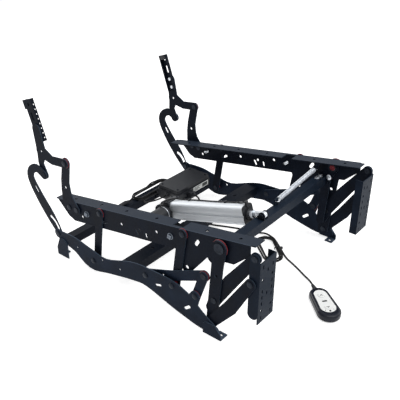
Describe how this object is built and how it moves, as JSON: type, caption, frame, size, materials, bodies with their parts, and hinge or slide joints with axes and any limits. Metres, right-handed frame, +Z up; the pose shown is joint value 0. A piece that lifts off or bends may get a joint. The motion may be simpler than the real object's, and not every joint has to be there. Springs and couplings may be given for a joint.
{
  "type": "recliner mechanism",
  "caption": "Powered recliner base: two side linkages joined by cross tubes, a linear actuator that opens the footrest and reclines the back, a power supply and a corded handset.",
  "frame": {"origin": "on the floor, midway between the four floor bolts", "axes": "-Y to the front of the seat, +Z up, -X to the sitter's right"},
  "size_m": [0.5474, 0.8449, 0.4335],
  "materials": {
    "frame_steel": "satin powder coat",
    "frame_steel_light": "satin powder coat",
    "zinc": "bright zinc",
    "aluminium": "extruded",
    "washer_plastic": "moulded",
    "black_plastic": "fine texture",
    "white_plastic": "gloss",
    "cord": "matte"
  },
  "bodies": {
    "base": {"base_plate_right": "frame_steel_light", "base_plate_left": "frame_steel_light", "base_feet": "frame_steel", "base_rear_tube": "frame_steel", "base_mid_channel": "frame_steel", "brace_links": "frame_steel_light", "prop_links": "frame_steel_light", "base_rivets": "zinc", "base_washers": "washer_plastic", "actuator_mount": "frame_steel", "power_tray": "frame_steel", "power_supply": "black_plastic", "power_lead": "cord", "power_hank": "cord", "power_plug": "black_plastic", "handset_shell": "black_plastic", "handset_face": "white_plastic", "handset_cord": "cord", "handset_hank": "cord", "handset_plug": "black_plastic"},
    "rear_swing": {"rear_swing_right": "frame_steel", "rear_swing_left": "frame_steel"},
    "seat": {"seat_rail_right": "frame_steel", "seat_rail_left": "frame_steel", "seat_flange_right": "frame_steel", "seat_flange_left": "frame_steel", "back_post_right": "frame_steel", "back_post_left": "frame_steel", "seat_rivets": "zinc", "seat_washers": "washer_plastic", "tension_spring": "zinc"},
    "front_swing": {"front_swing_right": "frame_steel", "front_swing_left": "frame_steel"},
    "back": {"back_plate_right": "frame_steel", "back_plate_left": "frame_steel", "back_channel_right": "frame_steel", "back_channel_left": "frame_steel"},
    "back_link": {"back_link_right": "frame_steel", "back_link_left": "frame_steel"},
    "drive": {"drive_tube": "frame_steel_light", "drive_cranks": "frame_steel", "front_ottoman_right": "frame_steel", "front_ottoman_left": "frame_steel", "drive_rivets": "zinc", "rod_bracket": "frame_steel"},
    "rear_ottoman": {"rear_ottoman_links": "frame_steel"},
    "outer_ottoman": {"outer_ottoman_right": "frame_steel", "outer_ottoman_left": "frame_steel"},
    "upper_ottoman": {"upper_ottoman_right": "frame_steel", "upper_ottoman_left": "frame_steel"},
    "footrest": {"footrest_bracket_right": "frame_steel_light", "footrest_bracket_left": "frame_steel_light", "footrest_rivets": "zinc"},
    "actuator": {"actuator_profile": "aluminium", "actuator_gearbox": "black_plastic", "actuator_motor": "black_plastic", "actuator_end_cap": "black_plastic"},
    "rod": {"actuator_rod": "zinc"},
    "button_recline": {"button_recline": "white_plastic"},
    "button_upright": {"button_upright": "white_plastic"}
  },
  "joints": [
    {"name": "footrest_drive", "type": "hinge", "parent": "seat", "child": "drive", "pos_m": [0, -0.264, 0.23765], "axis": [-1, 0, 0], "range_deg": [0, 84], "deforming": ["tension_spring"]},
    {"name": "rear_swing_pivot", "type": "hinge", "parent": "base", "child": "rear_swing", "pos_m": [0, 0.13904, 0.03619], "axis": [1, 0, 0], "range_deg": [0, 18.01]},
    {"name": "seat_pivot", "type": "hinge", "parent": "rear_swing", "child": "seat", "pos_m": [0, 0.117, 0.18021], "axis": [-1, 0, 0], "range_deg": [0, 18.01]},
    {"name": "front_swing_pivot", "type": "hinge", "parent": "seat", "child": "front_swing", "pos_m": [0, -0.157, 0.22856], "axis": [1, 0, 0], "range_deg": [0, 18.01]},
    {"name": "back_pivot", "type": "hinge", "parent": "seat", "child": "back", "pos_m": [0, 0.227, 0.288], "axis": [-1, 0, 0], "range_deg": [0, 25.01]},
    {"name": "back_link_pivot", "type": "hinge", "parent": "back", "child": "back_link", "pos_m": [0, 0.313, 0.231], "axis": [1, 0, 0], "range_deg": [0, 46.41]},
    {"name": "rear_ottoman_pivot", "type": "hinge", "parent": "seat", "child": "rear_ottoman", "pos_m": [0, -0.2474, 0.20236], "axis": [-1, 0, 0], "range_deg": [0, 85.96]},
    {"name": "outer_ottoman_pivot", "type": "hinge", "parent": "drive", "child": "outer_ottoman", "pos_m": [0, -0.25151, 0.09339], "axis": [1, 0, 0], "range_deg": [0, 104.05]},
    {"name": "upper_ottoman_pivot", "type": "hinge", "parent": "drive", "child": "upper_ottoman", "pos_m": [0, -0.24598, 0.02963], "axis": [1, 0, 0], "range_deg": [0, 104.05]},
    {"name": "footrest_pivot", "type": "hinge", "parent": "outer_ottoman", "child": "footrest", "pos_m": [0, -0.355, 0.25], "axis": [-1, 0, 0], "range_deg": [0, 104.05]},
    {"name": "actuator_pivot", "type": "hinge", "parent": "base", "child": "actuator", "pos_m": [0, 0.091, 0.116], "axis": [1, 0, 0], "range_deg": [0, 5.86]},
    {"name": "rod_slide", "type": "slide", "parent": "actuator", "child": "rod", "axis": [0, -0.9565, 0.2919], "range_m": [0, 0.07838]},
    {"name": "button_recline_press", "type": "slide", "parent": "base", "child": "button_recline", "axis": [0, 0, -1], "range_m": [0, 0.0012], "stiffness_N_per_m": 250},
    {"name": "button_upright_press", "type": "slide", "parent": "base", "child": "button_upright", "axis": [0, 0, -1], "range_m": [0, 0.0012], "stiffness_N_per_m": 250}
  ],
  "couplings": [
    {"joint": "rear_swing_pivot", "follows": "footrest_drive", "ratio": 0.21429},
    {"joint": "seat_pivot", "follows": "footrest_drive", "ratio": 0.21429},
    {"joint": "front_swing_pivot", "follows": "footrest_drive", "ratio": 0.21429},
    {"joint": "back_pivot", "follows": "footrest_drive", "ratio": 0.29762},
    {"joint": "back_link_pivot", "follows": "footrest_drive", "ratio": 0.55226},
    {"joint": "rear_ottoman_pivot", "follows": "footrest_drive", "ratio": 1.0228},
    {"joint": "outer_ottoman_pivot", "follows": "footrest_drive", "ratio": 1.2381},
    {"joint": "upper_ottoman_pivot", "follows": "footrest_drive", "ratio": 1.2381},
    {"joint": "footrest_pivot", "follows": "footrest_drive", "ratio": 1.2381},
    {"joint": "actuator_pivot", "follows": "footrest_drive", "ratio": 0.069773},
    {"joint": "rod_slide", "follows": "footrest_drive", "m_per_rad": 0.053436}
  ]
}
